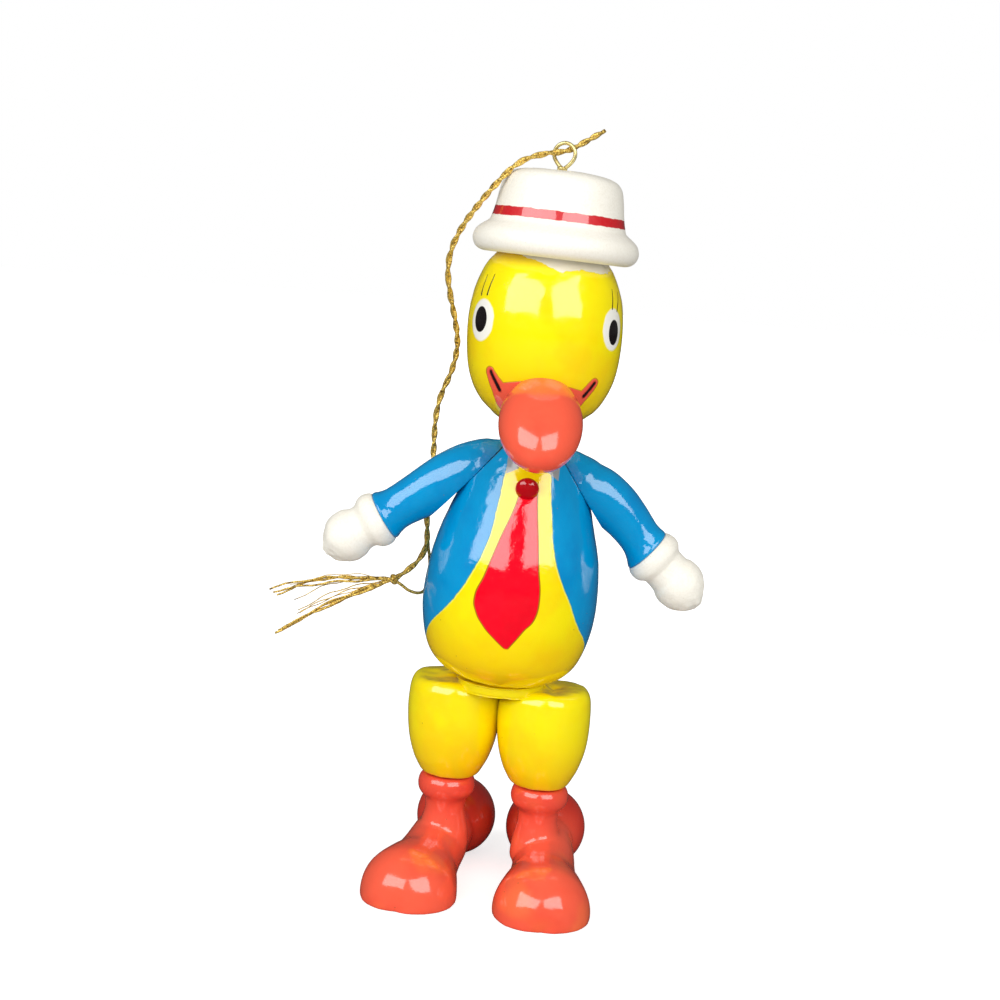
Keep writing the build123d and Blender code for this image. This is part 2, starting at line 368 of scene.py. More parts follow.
def enamel(paint, colour, height=None, ripple=0.2, gloss=0.07, edge_depth=0.04 * MM):
    """Thick glossy brush enamel: pinholes, soft brush marks and a rippled skin."""
    shader = paint.shader
    pits = paint.specks(0.62, 0.075, 0.53)
    colour = paint.mix(paint.math("MULTIPLY", pits, 0.55), colour, srgb(110, 80, 30))
    paint.wire(colour, shader.inputs["Base Color"])
    skin = paint.noise(0.55, 3.0, 0.45)
    fine = paint.noise(2.2, 2.0, 0.4)
    surface = paint.math("ADD", skin, paint.math("MULTIPLY", fine, 0.25))
    normal = paint.bump(surface, ripple, 0.1 * MM)
    if height is not None:
        normal = paint.bump(height, 1.0, edge_depth, normal)
    normal = paint.bump(pits, 0.5, -0.03 * MM, normal)
    paint.wire(normal, shader.inputs["Normal"])
    dull = paint.noise(0.9, 4.0, 0.6)
    paint.wire(paint.ramp(dull, 0.3, 0.8, gloss, gloss + 0.09), shader.inputs["Roughness"])
    shader.inputs["Specular IOR Level"].default_value = 0.8
    shader.inputs["Coat Weight"].default_value = 0.5
    shader.inputs["Coat Roughness"].default_value = 0.03
    return paint.material


def shaded(paint, colour, deep, scale=0.14):
    """Enamel colour with faint darker drifts where the paint lies thicker."""
    drift = paint.noise(scale, 3.0, 0.55)
    return paint.mix(paint.ramp(drift, 0.42, 0.75, 0.0, 0.45), colour, deep)


def yellow_paint():
    """Yellow with painted shade that deepens down the thighs."""
    paint = Paint("yellow_enamel")
    x, y, z = paint.local(Matrix.Identity(4))
    # painted shade: the yellow darkens towards the bottoms of the thighs
    colour = paint.mix(paint.ramp(z, 28.0, 17.0, 0.0, 0.6), shaded(paint, YELLOW, YELLOW_DEEP_AND_SHADE), YELLOW_DEEP_AND_SHADE)
    return enamel(paint, colour, ripple=0.05, gloss=0.13)


def blue_paint():
    paint = Paint("blue_enamel")
    return enamel(paint, shaded(paint, BLUE, BLUE_DEEP), ripple=0.5)


def red_paint():
    paint = Paint("red_enamel")
    return enamel(paint, shaded(paint, RED_DEEP, srgb(140, 0, 10)))


def coral_paint():
    """Coral with faint orange patches, deeper on the shanks, and with painted shade on the heels behind them."""
    paint = Paint("coral_enamel")
    x, y, z = paint.local(Matrix.Identity(4))
    colour = shaded(paint, CORAL, srgb(240, 72, 52))
    patches = paint.ramp(paint.noise(0.16, 1.0, 0.5), 0.5, 0.75, 0.0, 0.3)
    boots = paint.ramp(z, 40.0, 30.0)
    colour = paint.mix(paint.math("MULTIPLY", patches, boots), colour, CORAL_PATCH)
    shanks = paint.math("MULTIPLY", paint.ramp(z, 7.0, 13.0, 0.0, 0.45), boots)
    colour = paint.mix(shanks, colour, srgb(222, 50, 44))
    # painted shade: the backs of the boots, the heels, darken
    colour = paint.mix(paint.ramp(y, 3.0, 9.0, 0.0, 0.75), colour, CORAL_SHADE)
    return enamel(paint, colour, ripple=0.12, gloss=0.12)


def ivory_surface(paint, colour, rough=0.5, grainy=1.0):
    """Thin matt paint with a chalky grain and a little grime in its pores."""
    shader = paint.shader
    grime = paint.specks(1.1, 0.07, 0.5)
    grain = paint.noise(3.2, 4.0, 0.6)
    shade = paint.math("MULTIPLY", paint.ramp(grain, 0.35, 0.75, 0.0, 0.22), grainy)
    colour = paint.mix(shade, colour, IVORY_SHADE)
    colour = paint.mix(paint.math("MULTIPLY", grime, 0.6), colour, srgb(150, 130, 100))
    paint.wire(colour, shader.inputs["Base Color"])
    normal = paint.bump(paint.math("MULTIPLY", grain, grainy), 0.4, 0.05 * MM)
    waves = paint.noise(0.7, 4.0, 0.6)
    normal = paint.bump(paint.math("MULTIPLY", waves, grainy), 0.5, 0.1 * MM, normal)
    paint.wire(normal, shader.inputs["Normal"])
    paint.wire(paint.ramp(grain, 0.3, 0.8, rough - 0.1, rough + 0.15), shader.inputs["Roughness"])
    return paint.material


def ivory_paint():
    paint = Paint("ivory_paint")
    return ivory_surface(paint, IVORY)


def bare_wood():
    paint = Paint("birch_dowel")
    x, y, z = paint.local(Matrix.Identity(4))
    grain = paint.noise(0.9, 4.0, 0.6, paint.join(x, y, paint.math("MULTIPLY", z, 0.15)))
    paint.wire(paint.mix(grain, srgb(226, 196, 150), srgb(180, 138, 92)), paint.shader.inputs["Base Color"])
    paint.wire(paint.bump(grain, 0.4, 0.05 * MM), paint.shader.inputs["Normal"])
    paint.shader.inputs["Roughness"].default_value = 0.6
    return paint.material


def brass():
    paint = Paint("brass_wire")
    shader = paint.shader
    tarnish = paint.noise(1.4, 4.0, 0.6)
    paint.wire(paint.mix(paint.ramp(tarnish, 0.4, 0.7), srgb(240, 226, 160), srgb(196, 170, 96)),
               shader.inputs["Base Color"])
    shader.inputs["Metallic"].default_value = 0.6
    paint.wire(paint.ramp(tarnish, 0.3, 0.8, 0.16, 0.34), shader.inputs["Roughness"])
    paint.wire(paint.bump(paint.noise(4.0, 2.0), 0.3, 0.02 * MM), shader.inputs["Normal"])
    return paint.material


def gold_thread():
    paint = Paint("gold_cord")
    shader = paint.shader
    glint = paint.noise(2.4, 3.0, 0.65)
    # small cells painted pale as glints; the same cells bump the threads
    glint_and_bump_cells = paint.cells(4.5)
    # painted highlights: the glint noise runs the gold from dark brown to bright
    colour = paint.mix(paint.ramp(glint, 0.3, 0.54), srgb(100, 66, 16), srgb(255, 216, 108))
    colour = paint.mix(paint.ramp(glint_and_bump_cells, 0.28, 0.08, 0.0, 0.8), colour, srgb(255, 242, 176))
    paint.wire(colour, shader.inputs["Base Color"])
    shader.inputs["Metallic"].default_value = 0.6
    paint.wire(paint.ramp(glint, 0.3, 0.7, 0.5, 0.26), shader.inputs["Roughness"])
    paint.wire(paint.bump(glint_and_bump_cells, 0.8, 0.12 * MM), shader.inputs["Normal"])
    return paint.material


materials = {
    "yellow": yellow_paint(),
    "blue": blue_paint(),
    "red": red_paint(),
    "coral": coral_paint(),
    "ivory": ivory_paint(),
    "wood": bare_wood(),
    "brass": brass(),
    "gold": gold_thread(),
}


def coat(piece, material):
    piece.data.materials.clear()
    piece.data.materials.append(material)
    return piece


# =====================================================================
# The hanging cord, its knot and its frayed tails
# =====================================================================
# The route's control points, in millimetres from the middle of the hips' footprint on the floor.
CORD_ROUTE = [
    (9.0, 2.9, 116.3), (6.0, 1.7, 114.2), (3.5, 0.0, 112.6), (0.4, -2.0, 112.1), (-3.4, -3.7, 110.6),
    (-6.4, -3.6, 107.2), (-8.9, -2.2, 103.9), (-11.0, -0.4, 100.8), (-12.5, 1.0, 97.4), (-12.9, 2.2, 93.9),
    (-12.2, 3.4, 90.2), (-11.2, 4.4, 86.6), (-10.5, 5.2, 82.9), (-11.2, 6.2, 78.7), (-12.8, 7.2, 74.9),
    (-13.4, 7.9, 70.6), (-13.2, 8.3, 65.6), (-13.5, 8.4, 60.2), (-13.6, 8.2, 55.4),
    (-13.1, 7.7, 51.3), (-14.6, 7.0, 47.9), (-17.9, 6.3, 45.6),
]
STRAND_RADIUS = 0.265
STRANDS_APART = 0.21
TWIST_LENGTH = 5.0
STRAND_STEP = 0.12  # between the points that a strand is drawn through
THREAD_TWIST = 3000.0  # how fast the threads turn about a strand, in radians per metre
SLACK_ROUTE = [
    (-17.9, 6.3, 45.6), (-16.2, 6.4, 44.3), (-14.4, 6.8, 43.4), (-12.9, 8.0, 43.8), (-12.4, 8.8, 46.6),
    (-12.8, 8.5, 49.6), (-13.3, 8.0, 52.6),
]
floor_middle = Vector((hip.x, hip.y, sole))


def route_points(route, steps=24):
    """Points along the smooth curve that a route's control points pull, in metres."""
    data = bpy.data.curves.new("route", "CURVE")
    data.dimensions = "3D"
    data.resolution_u = steps
    spline = data.splines.new("NURBS")
    spline.points.add(len(route) - 1)
    for spot, point in zip(route, spline.points):
        point.co = (*(floor_middle + Vector(spot) * MM), 1.0)
    spline.order_u = 3
    spline.use_endpoint_u = True
    holder = bpy.data.objects.new("route", data)
    scene.collection.objects.link(holder)
    mesh = bpy.data.meshes.new_from_object(holder.evaluated_get(bpy.context.evaluated_depsgraph_get()))
    points = [vertex.co.copy() for vertex in mesh.vertices]
    bpy.data.objects.remove(holder)
    return points


def even_points(points, spacing):
    """The same line with evenly spaced points."""
    spaced = [points[0].copy()]
    needed = spacing
    for a, b in zip(points, points[1:]):
        length = (b - a).length
        while length > 0 and needed <= length:
            spaced.append(a.lerp(b, needed / length))
            needed += spacing
        needed -= length
    spaced.append(points[-1].copy())
    return spaced


def frames_along(points):
    """(tangent, side, other side) at each point, turning as little as possible."""
    tangents = []
    for n in range(len(points)):
        tangents.append((points[min(n + 1, len(points) - 1)] - points[max(n - 1, 0)]).normalized())
    side = tangents[0].orthogonal().normalized()
    frames = []
    for tangent in tangents:
        side = (side - tangent * side.dot(tangent)).normalized()
        frames.append((tangent, side, tangent.cross(side)))
    return frames


def rope(points, radius, lobes=0, lobe_depth=0.0, lobe_twist=0.0, around=12, thin_ends=0.0):
    """A tube mesh along points in metres; lobes are the threads that show as a twisted relief."""
    made = bmesh.new()
    rows = []
    run = 0.0
    total = sum((b - a).length for a, b in zip(points, points[1:]))
    last = points[0]
    for spot, (tangent, side, other) in zip(points, frames_along(points)):
        run += (spot - last).length
        last = spot
        size = radius
        if thin_ends:
            size *= 1 - thin_ends * run / total
        row = []
        for n in range(around):
            angle = 2 * math.pi * n / around
            relief = 1 + lobe_depth * math.cos(lobes * angle + lobe_twist * run)
            out = side * math.cos(angle) + other * math.sin(angle)
            row.append(made.verts.new(spot + out * size * relief))
        rows.append(row)
    for low, high in zip(rows, rows[1:]):
        for n in range(around):
            m = (n + 1) % around
            made.faces.new((low[n], low[m], high[m], high[n]))
    made.faces.new(rows[0][::-1])
    made.faces.new(rows[-1])
    mesh = bpy.data.meshes.new("rope")
    made.to_mesh(mesh)
    made.free()
    return mesh


def make_cord():
    path = even_points(route_points(CORD_ROUTE), STRAND_STEP * MM)
    frames = frames_along(path)
    strands = []
    for start in (0.0, math.pi):
        line = []
        for n, (spot, (tangent, side, other)) in enumerate(zip(path, frames)):
            share = n / (len(path) - 1)
            angle = start + 2 * math.pi * n * STRAND_STEP / TWIST_LENGTH + 0.9 * math.sin(share * 23.0)
            apart = STRANDS_APART * MM * (1.0 if share > 0.02 else share / 0.02)
            line.append(spot + (side * math.cos(angle) + other * math.sin(angle)) * apart)
        strands.append(rope(line, STRAND_RADIUS * MM, lobes=3, lobe_depth=0.13, lobe_twist=THREAD_TWIST))
    cord = new_object("hanging_cord_strands", joined(strands), "body", "gold_cord", "hanging_cord")
    coat(cord, materials["gold"])
    knot_at = middle("cord_knot")
    turns = []
    for n in range(140):
        angle = 4 * math.pi * n / 139
        spread = 0.42 + 0.16 * math.cos(1.5 * angle)
        turns.append(knot_at + Vector((0.34 * math.sin(1.5 * angle), spread * math.cos(angle),
                                       spread * math.sin(angle))) * MM)
    knot = new_object("cord_overhand_knot", rope(turns, 0.3 * MM, 3, 0.12, THREAD_TWIST), "body", "gold_cord",
                      "cord_knot")
    coat(knot, materials["gold"])
    tails = make_tails(knot_at)


def make_tails(knot_at):
    """Two strands and a spray of loose threads past the knot, and a slack strand before it."""
    chance = random.Random(7)
    reach = knot_at.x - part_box("cord_tails")[0].x
    slack = even_points(route_points(SLACK_ROUTE), 0.15 * MM)
    meshes = [rope(slack, 0.24 * MM, 3, 0.13, THREAD_TWIST)]
    for n in range(15):
        if n < 4:
            across, fall, thick = 0.92 - 0.02 * n, -10.0 + 0.25 * n, 0.26 - 0.03 * n
        elif n < 7:
            across, fall, thick = 0.985 - 0.03 * (n - 4), -2.9 - 0.5 * (n - 4), 0.21
        else:
            across = chance.uniform(0.72, 1.0)
            fall = chance.uniform(-7.4, -2.6) if n % 2 else chance.uniform(-4.4, -2.4)
            thick = chance.uniform(0.07, 0.13)
        end = knot_at + Vector((-reach * across, chance.uniform(-0.5, 0.6) * MM, fall * MM))
        bow = chance.uniform(-0.9, 0.9)
        line = []
        for k in range(41):
            t = k / 40
            spot = knot_at.lerp(end, t)
            spot.z += (1.5 - abs(fall) * 0.02 + bow) * MM * math.sin(math.pi * t) * (0.5 + 0.5 * t)
            spot.z += 0.14 * MM * math.sin(19 * t + n)
            spot.y += 0.2 * MM * math.sin(11 * t + 2 * n) * t
            line.append(spot)
        meshes.append(rope(line, thick * MM, 3, 0.15, 3600.0, 8, 0.3))
    tails = new_object("cord_frayed_ends", joined(meshes), "body", "gold_cord", "cord_tails")
    return coat(tails, materials["gold"])


make_cord()


# =====================================================================
# Head
# =====================================================================
HEAD_SIDE = [
    (0, 65.9), (3.0, 65.9), (3.4, 66.2), (3.42, 71.2), (4.4, 72.1), (6.8, 73.5), (9.3, 76.0), (11.0, 80.0),
    (11.6, 85.6), (11.15, 91.0), (9.6, 95.2), (7.4, 98.0), (6.6, 98.3), (0, 98.35),
]
HEAD_RADIUS = 11.0
head_place = Matrix.Translation(Vector((head_axis.x, head_axis.y, 0)))
# The face is painted on the egg as if it were unrolled: (across, up) in millimetres, across from the front
# line towards the duck's left.
WHITES = ((-10.55, 87.4, 2.55, 3.05), (11.2, 87.4, 2.5, 3.05))
PUPILS = ((-10.75, 87.5, 1.42, 1.88), (11.35, 87.0, 1.35, 1.85))
BROWS = (((-12.05, 93.9), (-11.65, 91.0)), ((-9.95, 94.1), (-10.1, 91.1)),
         ((11.6, 93.2), (10.95, 90.4)), ((13.8, 92.8), (12.3, 90.1)))
# each corner of the beak: its tip and root, and the dark slit along it
CORNERS = (((-8.35, 80.0), (-7.0, 77.2), 0.78, 1.6), ((-7.3, 77.6), (-7.2, 75.3), 1.3, 1.35),
           ((8.45, 79.4), (6.6, 76.6), 0.8, 1.15))
SLITS = (((-8.2, 80.1), (-7.0, 77.6)), ((8.55, 79.5), (7.35, 77.6)))
LIP = (((-6.3, 77.6), (-0.2, 78.6)), ((-0.2, 78.6), (5.9, 77.4)))
DRIPS = [(-45, 97.8), (-35, 97.2), (-20, 96.7), (-6, 96.1), (3, 95.5), (14, 95.2), (25, 95.6), (32, 95.6),
         (44, 95.3), (62, 95.5), (80, 96.4), (95, 97.5)]


def oval(paint, across, up, centre_x, centre_z, half_width, half_height, soft):
    a = paint.math("DIVIDE", paint.math("ADD", across, -centre_x), half_width)
    b = paint.math("DIVIDE", paint.math("ADD", up, -centre_z), half_height)
    return paint.ramp(paint.hypotenuse(a, b), 1 + soft, 1 - soft)


def stroke(paint, across, up, start, end, half_start, half_end, soft=0.05):
    """Mask of a straight mark from start to end, with round ends and a width that runs along it."""
    run = Vector(end) - Vector(start)
    length = run.length
    run.normalize()
    a = paint.math("ADD", across, -start[0])
    b = paint.math("ADD", up, -start[1])
    along = paint.math("ADD", paint.math("MULTIPLY", a, run.x), paint.math("MULTIPLY", b, run.y))
    held = paint.math("MINIMUM", paint.math("MAXIMUM", along, 0.0), length)
    dx = paint.math("SUBTRACT", a, paint.math("MULTIPLY", held, run.x))
    dz = paint.math("SUBTRACT", b, paint.math("MULTIPLY", held, run.y))
    apart = paint.hypotenuse(dx, dz)
    half = paint.math("MULTIPLY_ADD", held, (half_end - half_start) / length, half_start)
    return paint.ramp(paint.math("SUBTRACT", apart, half), soft, -soft)


def any_of(paint, masks):
    result = 0.0
    for mask in masks:
        result = paint.math("MAXIMUM", result, mask)
    return result


def head_paint():
    paint = Paint("head_enamel")
    x, y, z = paint.local(head_place)
    around = paint.math("ARCTAN2", x, paint.math("MULTIPLY", y, -1.0))
    across = paint.math("MULTIPLY", around, HEAD_RADIUS)
    shaky = paint.math("ADD", across, paint.math("MULTIPLY_ADD", paint.noise(0.9, 2.0), 0.3, -0.15))
    whites = any_of(paint, [oval(paint, shaky, z, *place, 0.06) for place in WHITES])
    pupils = any_of(paint, [oval(paint, across, z, *place, 0.03) for place in PUPILS])
    brows = any_of(paint, [stroke(paint, shaky, z, *ends, 0.07, 0.15) for ends in BROWS])
    corners = any_of(paint, [stroke(paint, shaky, z, *shape) for shape in CORNERS])
    rims = any_of(paint, [stroke(paint, shaky, z, *shape[:2], shape[2] + 0.16, shape[3] + 0.16, 0.08)
                          for shape in CORNERS])
    slits = any_of(paint, [stroke(paint, shaky, z, *ends, 0.26, 0.3) for ends in SLITS])
    slit_rims = any_of(paint, [stroke(paint, shaky, z, *ends, 0.42, 0.44, 0.12) for ends in SLITS])
    lip = any_of(paint, [stroke(paint, shaky, z, *ends, 1.0, 1.0) for ends in LIP])
    lip_rim = any_of(paint, [stroke(paint, shaky, z, *ends, 1.12, 1.12, 0.07) for ends in LIP])
    turn = paint.math("MULTIPLY", around, 180 / math.pi)
    edge = paint.graph(turn, DRIPS, 93.0, 98.0)
    rough_edge = paint.math("ADD", edge, paint.math("MULTIPLY_ADD", paint.noise(0.9, 3.0), 1.0, -0.5))
    drips = paint.ramp(paint.math("SUBTRACT", z, rough_edge), -0.06, 0.06)
    colour = shaded(paint, YELLOW, YELLOW_DEEP_AND_SHADE)
    # painted shade: the head darkens towards the chin
    colour = paint.mix(paint.ramp(z, 86.0, 73.0, 0.0, 0.6), colour, YELLOW_DEEP_AND_SHADE)
    # painted shadow under the hat brim: a brownish darkening just below it
    colour = paint.mix(paint.ramp(z, 95.0, 97.5, 0.0, 0.6), colour, srgb(226, 160, 0))
    outline = paint.math("MULTIPLY", paint.math("MAXIMUM", rims, lip_rim), 0.7)
    colour = paint.mix(outline, colour, srgb(170, 70, 20))
    colour = paint.mix(paint.math("MAXIMUM", corners, lip), colour, srgb(250, 96, 70))
    colour = paint.mix(paint.math("MULTIPLY", slit_rims, 0.6), colour, srgb(150, 20, 20))
    colour = paint.mix(slits, colour, srgb(34, 12, 14))
    colour = paint.mix(whites, colour, srgb(252, 250, 240))
    colour = paint.mix(pupils, colour, BLACK)
    colour = paint.mix(brows, colour, srgb(56, 50, 8))
    colour = paint.mix(drips, colour, srgb(240, 234, 216))
    height = paint.math("ADD", whites, paint.math("MULTIPLY", pupils, 0.6))
    height = paint.math("ADD", height, paint.math("MAXIMUM", paint.math("MAXIMUM", corners, lip), brows))
    height = paint.math("ADD", height, paint.math("MULTIPLY", drips, 2.0))
    return enamel(paint, colour, height, ripple=0.1, gloss=0.1)


def make_head():
    mesh = to_metres(turned(HEAD_SIDE, around=144, steps=10), head_place)
    coat(new_object("head_egg", mesh, "head", "yellow_enamel", "head"), head_paint())


BEAK_DROOP = math.radians(36.0)
BEAK_HALF = (6.05, 9.07, 4.8)
BEAK_ASIDE = 0.2
BEAK_AHEAD = 13.4
BEAK_HEIGHT = 73.6


def make_beak():
    """A drooping bulb at the middle of the face."""
    front = Vector((head_axis.x / MM + BEAK_ASIDE, head_axis.y / MM - BEAK_AHEAD, BEAK_HEIGHT))
    place = Matrix.Translation(front)
    place = place @ Matrix.Rotation(BEAK_DROOP, 4, "X")
    mesh = ball(BEAK_HALF, place, 56)
    coat(new_object("beak_bulb", to_metres(mesh, Matrix.Identity(4)), "head", "coral_enamel", "beak"),
         materials["coral"])


make_head()
make_beak()


# =====================================================================
# Hat and screw eye
# =====================================================================
HAT_TILT = math.radians(2.6)
HAT_SIDE = [
    (0, 0.35), (6.0, 0.3), (9.2, 0.12), (10.8, 0.12), (11.9, 0.7), (12.4, 1.9), (12.05, 3.2), (11.1, 4.1),
    (10.3, 4.7), (10.0, 5.3), (9.62, 6.9), (9.2, 9.4), (8.75, 11.0), (7.9, 12.0), (6.2, 12.6), (3.2, 12.88),
    (0, 12.93),
]
hat_axis = Vector((math.sin(HAT_TILT), 0, math.cos(HAT_TILT)))
EYE_ABOVE_HAT = 15.35 * MM
EYE_ASIDE = -0.35 * MM
hat_base = eye_middle - hat_axis * EYE_ABOVE_HAT - Vector((hat_axis.z, 0, -hat_axis.x)) * EYE_ASIDE
hat_place = Matrix.Translation(hat_base) @ Matrix.Rotation(HAT_TILT, 4, "Y")


BAND_LOW = 5.48
BAND_HIGH = 6.785
BAND_BLUR = 0.06


def hat_paint():
    paint = Paint("hat_paint")
    x, y, z = paint.local(hat_place)
    ripple = paint.math("MULTIPLY", paint.math("SUBTRACT", paint.noise(0.5, 2.0), 0.5), 0.5)
    level = paint.math("ADD", z, ripple)
    band = paint.math("MULTIPLY", paint.ramp(level, BAND_LOW - BAND_BLUR, BAND_LOW + BAND_BLUR),
                      paint.ramp(level, BAND_HIGH + BAND_BLUR, BAND_HIGH - BAND_BLUR))
    band = paint.math("MULTIPLY", band, paint.ramp(paint.hypotenuse(x, y), 8.0, 8.5))
    colour = paint.mix(band, IVORY, srgb(214, 4, 24))
    surface = ivory_surface(paint, colour, 0.42, paint.ramp(band, 0.0, 1.0, 1.0, 0.1))
    paint.wire(band, paint.shader.inputs["Coat Weight"])
    paint.shader.inputs["Coat Roughness"].default_value = 0.05
    paint.shader.inputs["Coat IOR"].default_value = 1.8
    return surface


def make_hat():
    mesh = to_metres(turned(HAT_SIDE, around=144, steps=8, wobble=0.04), hat_place)
    coat(new_object("hat_brim_and_crown", mesh, "head", "ivory_paint", "hat"), hat_paint())


EYE_TURN = math.radians(-20)
RING_RADIUS = 1.64
RING_GAP = 36.0  # degrees left open at the foot of the ring


def make_eye():
    """A wire bent into a pear-shaped ring, with its end wound once round the shank."""
    place = Matrix.Translation(eye_middle) @ Matrix.Rotation(HAT_TILT, 4, "Y")
    place = place @ Matrix.Rotation(EYE_TURN, 4, "Z")
    ring = []
    for n in range(73):
        angle = math.radians(-90 + RING_GAP / 2 + n * (360 - RING_GAP) / 72)
        pull = max(0.0, -math.sin(angle)) ** 3
        across = RING_RADIUS * math.cos(angle) * (1 - 0.35 * pull)
        ring.append(Vector((across, 0.0, RING_RADIUS * math.sin(angle) - 0.45 * pull)))
    shank = [Vector((0.05, 0, -7.0)), Vector((0.05, 0, -4.0)), Vector((0.15, 0, -2.6))]
    tail = []
    for n in range(40):
        angle = n / 39 * 2.6 * math.pi + 2.2
        tail.append(Vector((0.5 * math.cos(angle) - 0.1, 0.5 * math.sin(angle), -1.95 - 0.4 * n / 39)))
    meshes = []
    for line, radius in ((shank + ring, 0.29), (ring[-3:] + tail, 0.27)):
        points = even_points([place @ (spot * MM) for spot in line], 0.09 * MM)
        meshes.append(rope(points, radius * MM, around=14))
    coat(new_object("screw_eye_wire", joined(meshes), "head", "brass_wire", "screw_eye"), materials["brass"])


make_hat()
make_eye()


# =====================================================================
# Torso
# =====================================================================
# Heights in the torso's own frame are measured from the floor that it would have if it stood upright.
HIP_HEIGHT = (hip.z - sole) / MM
torso_frame = torso_place @ Matrix.Translation(Vector((0, 0, -HIP_HEIGHT * MM)))
FRONT_ASIDE = 0.5  # from the turned axis to the middle of the painted shirt front
front_frame = torso_frame @ Matrix.Translation(Vector((FRONT_ASIDE * MM, 0, 0)))
TORSO_SIDE = [
    (0, 32.85), (5.6, 32.85), (6.8, 33.0), (9.2, 34.2), (11.4, 36.6), (12.75, 40.6), (13.25, 45.5),
    (12.6, 52.4), (10.85, 58.5), (9.1, 63.7), (7.5, 67.0), (6.3, 68.7), (5.4, 69.05), (4.8, 68.8),
    (4.7, 67.0), (4.6, 65.4), (3.8, 65.3), (0, 65.3),
]
FLAT_RISE = math.radians(37.5)
FLAT_POINT = Vector((7.5, 0, 64.3))
FLAT_GAP = 0.03
NOTCH_WIDTH = 4.4
NOTCH_MIDDLE = Vector((0, -5.5, 69.2))
flat_out = Vector((math.cos(FLAT_RISE), 0, math.sin(FLAT_RISE)))
# the jacket's painted edges: (height, degrees from the front line) on each side
JACKET_LEFT = [
    (33, 89), (37, 83), (40, 73), (42, 62), (43.6, 52.6), (48, 38.7), (53.8, 25.3), (60, 21.5), (65, 20.2),
    (69, 22),
]
JACKET_RIGHT = [
    (33, 89), (36, 84), (38.6, 76), (41, 64.5), (45.4, 43.8), (50.5, 31.6), (55, 25.7), (60, 25.1), (64, 26.9),
    (69, 30),
]
# the tie's painted edges: (height, millimetres from the front line) on each side
TIE_LEFT = [
    (40.2, -0.2), (43.2, 1.7), (45.9, 3.3), (48.6, 3.4), (52.5, 2.7), (56.6, 2.05), (61.5, 1.25), (65, 0.8),
]
TIE_RIGHT = [
    (40.2, 0.4), (41.5, 2.1), (43.2, 4.0), (45.3, 5.45), (46.7, 5.85), (50.6, 4.85), (55.9, 3.4), (61, 1.8),
    (65, 1.0),
]


def mirrored(vector):
    return Vector((-vector.x, vector.y, vector.z))


def torso_paint():
    paint = Paint("torso_enamel")
    x, y, z = paint.local(front_frame)
    turn = paint.math("MULTIPLY", paint.math("ARCTAN2", x, paint.math("MULTIPLY", y, -1.0)), 180 / math.pi)
    shake = paint.math("MULTIPLY", paint.math("SUBTRACT", paint.noise(0.8, 2.0), 0.5), 1.6)
    turn = paint.math("ADD", turn, shake)
    left_edge = paint.graph(z, JACKET_LEFT, 0.0, 100.0)
    right_edge = paint.graph(z, JACKET_RIGHT, 0.0, 100.0)
    beyond_left = paint.math("SUBTRACT", turn, left_edge)
    beyond_right = paint.math("SUBTRACT", paint.math("MULTIPLY", turn, -1.0), right_edge)
    beyond = paint.math("MAXIMUM", beyond_left, beyond_right)
    jacket = paint.ramp(beyond, -0.25, 0.25)
    above = paint.ramp(z, 34.5, 36.0)
    jacket = paint.math("MULTIPLY", jacket, above)
    pale = paint.ramp(paint.math("ABSOLUTE", paint.math("ADD", beyond, 0.4)), 1.3, 0.5)
    pale = paint.math("MULTIPLY", pale, above)
    line = paint.math("MULTIPLY", paint.ramp(paint.math("ABSOLUTE", beyond), 0.55, 0.2), above)
    tie_left = paint.graph(z, TIE_LEFT, -1.0, 7.0)
    tie_right = paint.graph(z, TIE_RIGHT, -1.0, 7.0)
    inside = paint.math("MINIMUM", paint.math("SUBTRACT", tie_left, x), paint.math("ADD", tie_right, x))
    front = paint.ramp(y, 0.0, -2.0)
    long = paint.math("MULTIPLY", paint.ramp(z, 40.15, 40.35), paint.ramp(z, 65.0, 64.0))
    tie = paint.math("MULTIPLY", paint.math("MULTIPLY", paint.ramp(inside, -0.05, 0.07), front), long)
    tie_rim = paint.ramp(paint.math("ABSOLUTE", inside), 0.26, 0.1)
    tie_rim = paint.math("MULTIPLY", paint.math("MULTIPLY", tie_rim, front), long)
    yellow = shaded(paint, YELLOW, YELLOW_DEEP_AND_SHADE)
    # painted shade: the yellow darkens towards the underside of the belly
    yellow = paint.mix(paint.ramp(z, 46.0, 34.0, 0.0, 0.7), yellow, YELLOW_DEEP_AND_SHADE)
    colour = paint.mix(paint.math("MULTIPLY", pale, 0.8), yellow, PALE_EDGE)
    colour = paint.mix(paint.math("MULTIPLY", line, 0.8), colour, srgb(60, 110, 90))
    blue = shaded(paint, BLUE, BLUE_DEEP)
    colour = paint.mix(jacket, colour, blue)
    colour = paint.mix(paint.math("MULTIPLY", tie_rim, 0.8), colour, srgb(130, 40, 10))
    colour = paint.mix(tie, colour, shaded(paint, RED, srgb(228, 0, 26), 0.3))
    colour = paint.mix(collar_mask(paint, x, y, z), colour, GREY)
    height = paint.math("ADD", jacket, tie)
    return enamel(paint, colour, height, ripple=0.4)


def collar_mask(paint, x, y, z):
    """Small grey collar points painted beside the neck."""
    sideways = paint.math("ABSOLUTE", x)
    slope = paint.math("ADD", paint.math("MULTIPLY", sideways, 0.6), z)
    patch = paint.math("MULTIPLY", paint.ramp(slope, 67.4, 67.6), paint.ramp(sideways, 4.0, 3.8))
    patch = paint.math("MULTIPLY", patch, paint.ramp(sideways, 2.0, 2.2))
    return paint.math("MULTIPLY", patch, paint.ramp(y, -2.0, -2.4))


